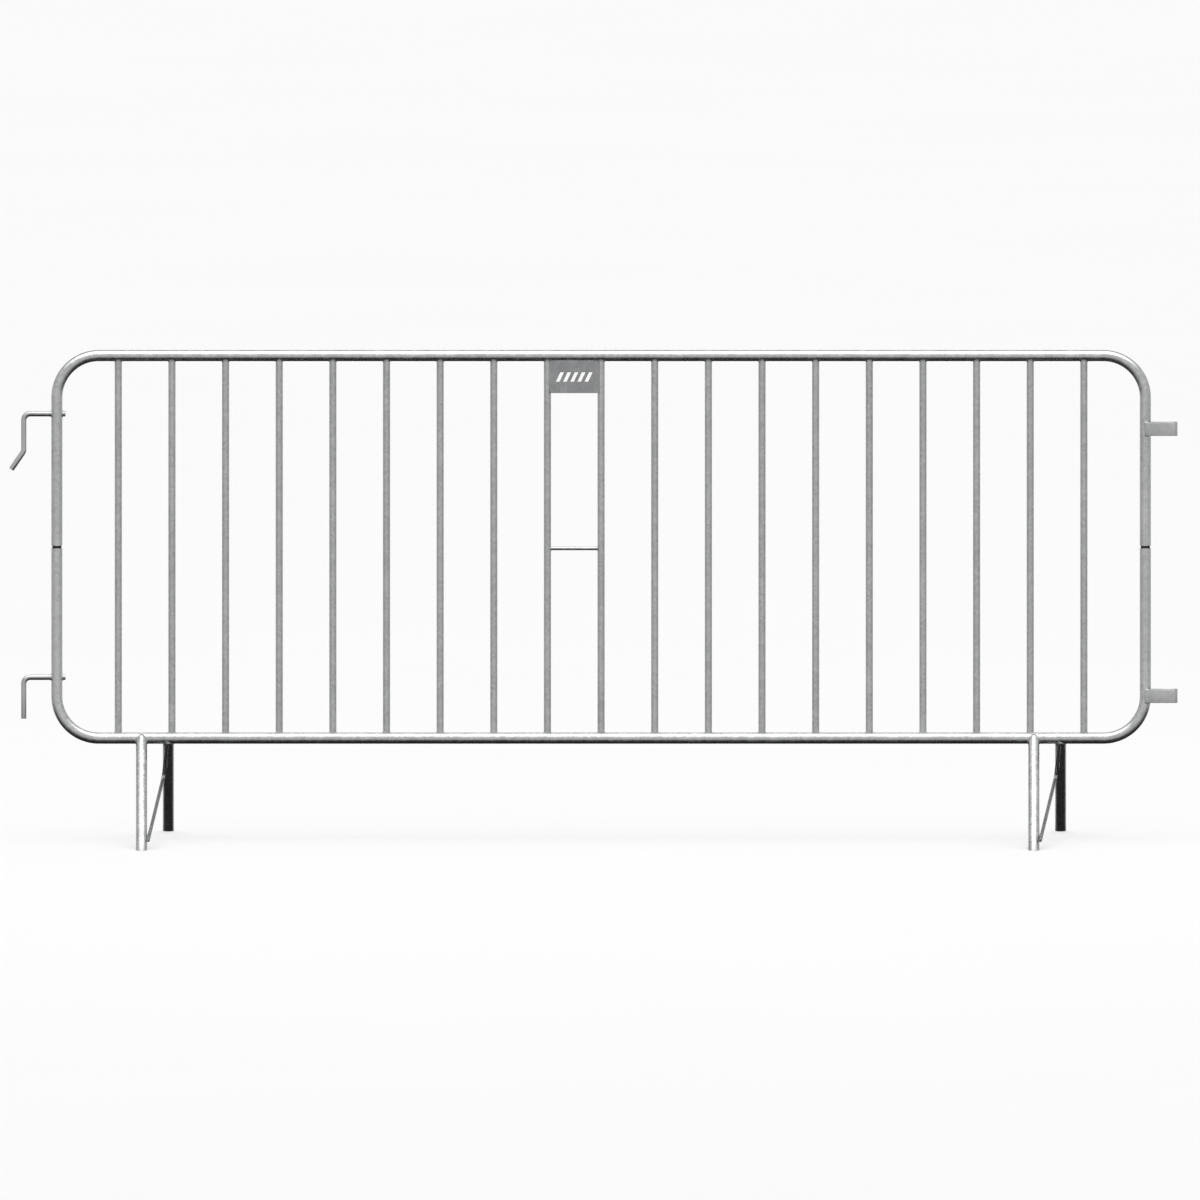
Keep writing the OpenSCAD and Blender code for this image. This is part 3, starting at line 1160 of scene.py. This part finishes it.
studio = {
    "floorSize": 90.0,
    "floorGlow": 0.59,  # keeps the floor near white and its shadows faint
    "floorColour": (0.30, 0.30, 0.30),
    "floorPatch": (0.31, 0.31, 0.31),
    "patchSize": 0.9,
    "groundShine": 0.025,  # what undersides reflect
    "groundEdge": 0.28,  # how far below eye level the dark sets in behind
    "levelShine": 0.67,  # what upright sides reflect
    "overhead": 2.6,  # added overhead
    "overheadFrom": 0.45,  # it begins at this height, where 1 is straight up
    "overheadEnd": (0.17, 0.37),  # how far behind the zenith the bright part ends
    "overheadTurn": 0.3,  # how much sooner it ends towards the sides
    "sideShade": 0.16,  # how much darker it is to the sides
    "backShade": 0.52,  # behind, above eye level
    "underShade": 0.55,  # to the sides, below eye level
    "backdrop": 1.0,
}


def makeFloor():
    half = studio["floorSize"] / 2
    mesh = bpy.data.meshes.new("floor")
    corners = [(-half, -half, 0), (half, -half, 0), (half, half, 0), (-half, half, 0)]
    mesh.from_pydata(corners, [], [(0, 1, 2, 3)])
    floor = newPiece("floor", mesh)
    material = bpy.data.materials.new("floorPaint")
    material.use_nodes = True
    material.node_tree.nodes.clear()
    bench = Bench(material.node_tree)
    place = bench.add("ShaderNodeTexCoord", result="Object")
    patch = bench.noise(place, studio["patchSize"])
    shade = bench.mixColour(patch, (*studio["floorColour"], 1), (*studio["floorPatch"], 1))
    paint = bench.add("ShaderNodeBsdfDiffuse", None, {"Color": shade})
    glow = bench.add("ShaderNodeEmission", None, {
        "Color": (1, 1, 1, 1), "Strength": studio["floorGlow"],
    })
    both = bench.add("ShaderNodeAddShader", None, {0: paint, 1: glow})
    bench.add("ShaderNodeOutputMaterial", None, {"Surface": both})
    mesh.materials.append(material)
    floor.visible_glossy = False
    floor.visible_diffuse = False


def makeSky():
    # dark below, even at eye level, bright overhead and to the front; the camera itself sees white
    world = bpy.data.worlds.new("studioSky")
    world.use_nodes = True
    world.node_tree.nodes.clear()
    scene.world = world
    bench = Bench(world.node_tree)
    way = bench.add("ShaderNodeTexCoord", result="Generated")
    aside, depth, rise = (
        bench.add("ShaderNodeSeparateXYZ", None, {"Vector": way}, axis) for axis in "XYZ"
    )
    sideways = bench.add("ShaderNodeMath", {"operation": "ABSOLUTE"}, {0: aside})

    # the ground's dark reaches higher in front than behind
    aboveEdge = rise + studio["groundEdge"]
    sunk = bench.add("ShaderNodeMath", {"operation": "MINIMUM"}, {0: aboveEdge, 1: 0.0})
    height = rise * 0.5 + 0.5 + depth.between(-0.1, 0.35) * sunk
    ground, level = studio["groundShine"], studio["levelShine"]
    ramp = bench.add("ShaderNodeValToRGB", {"stops": [
        (0.05, ground), (0.15, ground * 3), (0.28, level * 0.60), (0.45, level), (1.00, level * 1.1),
    ]}, {"Fac": height}, "Color")

    # every part sets in softly between two directions
    ending = (depth + sideways * studio["overheadTurn"]).between(*studio["overheadEnd"])
    overhead = rise.between(studio["overheadFrom"], 1.0) * (1 - ending) * studio["overhead"]
    side = sideways.between(0.45, 1.0) * studio["sideShade"]
    back = depth.between(0.35, 0.85) * rise.between(0.0, 0.25) * studio["backShade"]
    under = sideways.between(0.6, 0.9) * (1 - rise.between(-0.33, -0.12)) * studio["underShade"]
    strength = (1 - side) * (1 - back) * (1 - under) + overhead
    sky = bench.add("ShaderNodeBackground", None, {"Color": ramp, "Strength": strength})
    plain = bench.add("ShaderNodeBackground", None, {
        "Color": (1, 1, 1, 1), "Strength": studio["backdrop"],
    })
    seen = bench.add("ShaderNodeLightPath", result="Is Camera Ray")
    both = bench.add("ShaderNodeMixShader", None, {0: seen, 1: sky, 2: plain})
    bench.add("ShaderNodeOutputWorld", None, {"Surface": both})


softLights = {
    "overhead": {
        "place": (0.12, -1.6, 6.5), "aim": (0.12, 0, 0), "width": 4.0, "depth": 4.0, "power": 50,
    },
}


def makeLights():
    for name, light in softLights.items():
        lamp = bpy.data.lights.new(name, "AREA")
        lamp.shape = "RECTANGLE"
        lamp.size = light["width"]
        lamp.size_y = light["depth"]
        lamp.energy = light["power"]
        holder = bpy.data.objects.new(name, lamp)
        holder.location = light["place"]
        toAim = Vector(light["aim"]) - Vector(light["place"])
        holder.rotation_euler = toAim.to_track_quat("-Z", "Y").to_euler()
        holder.visible_camera = False
        scene.collection.objects.link(holder)


makeFloor()
makeSky()
makeLights()
print("studio ready")
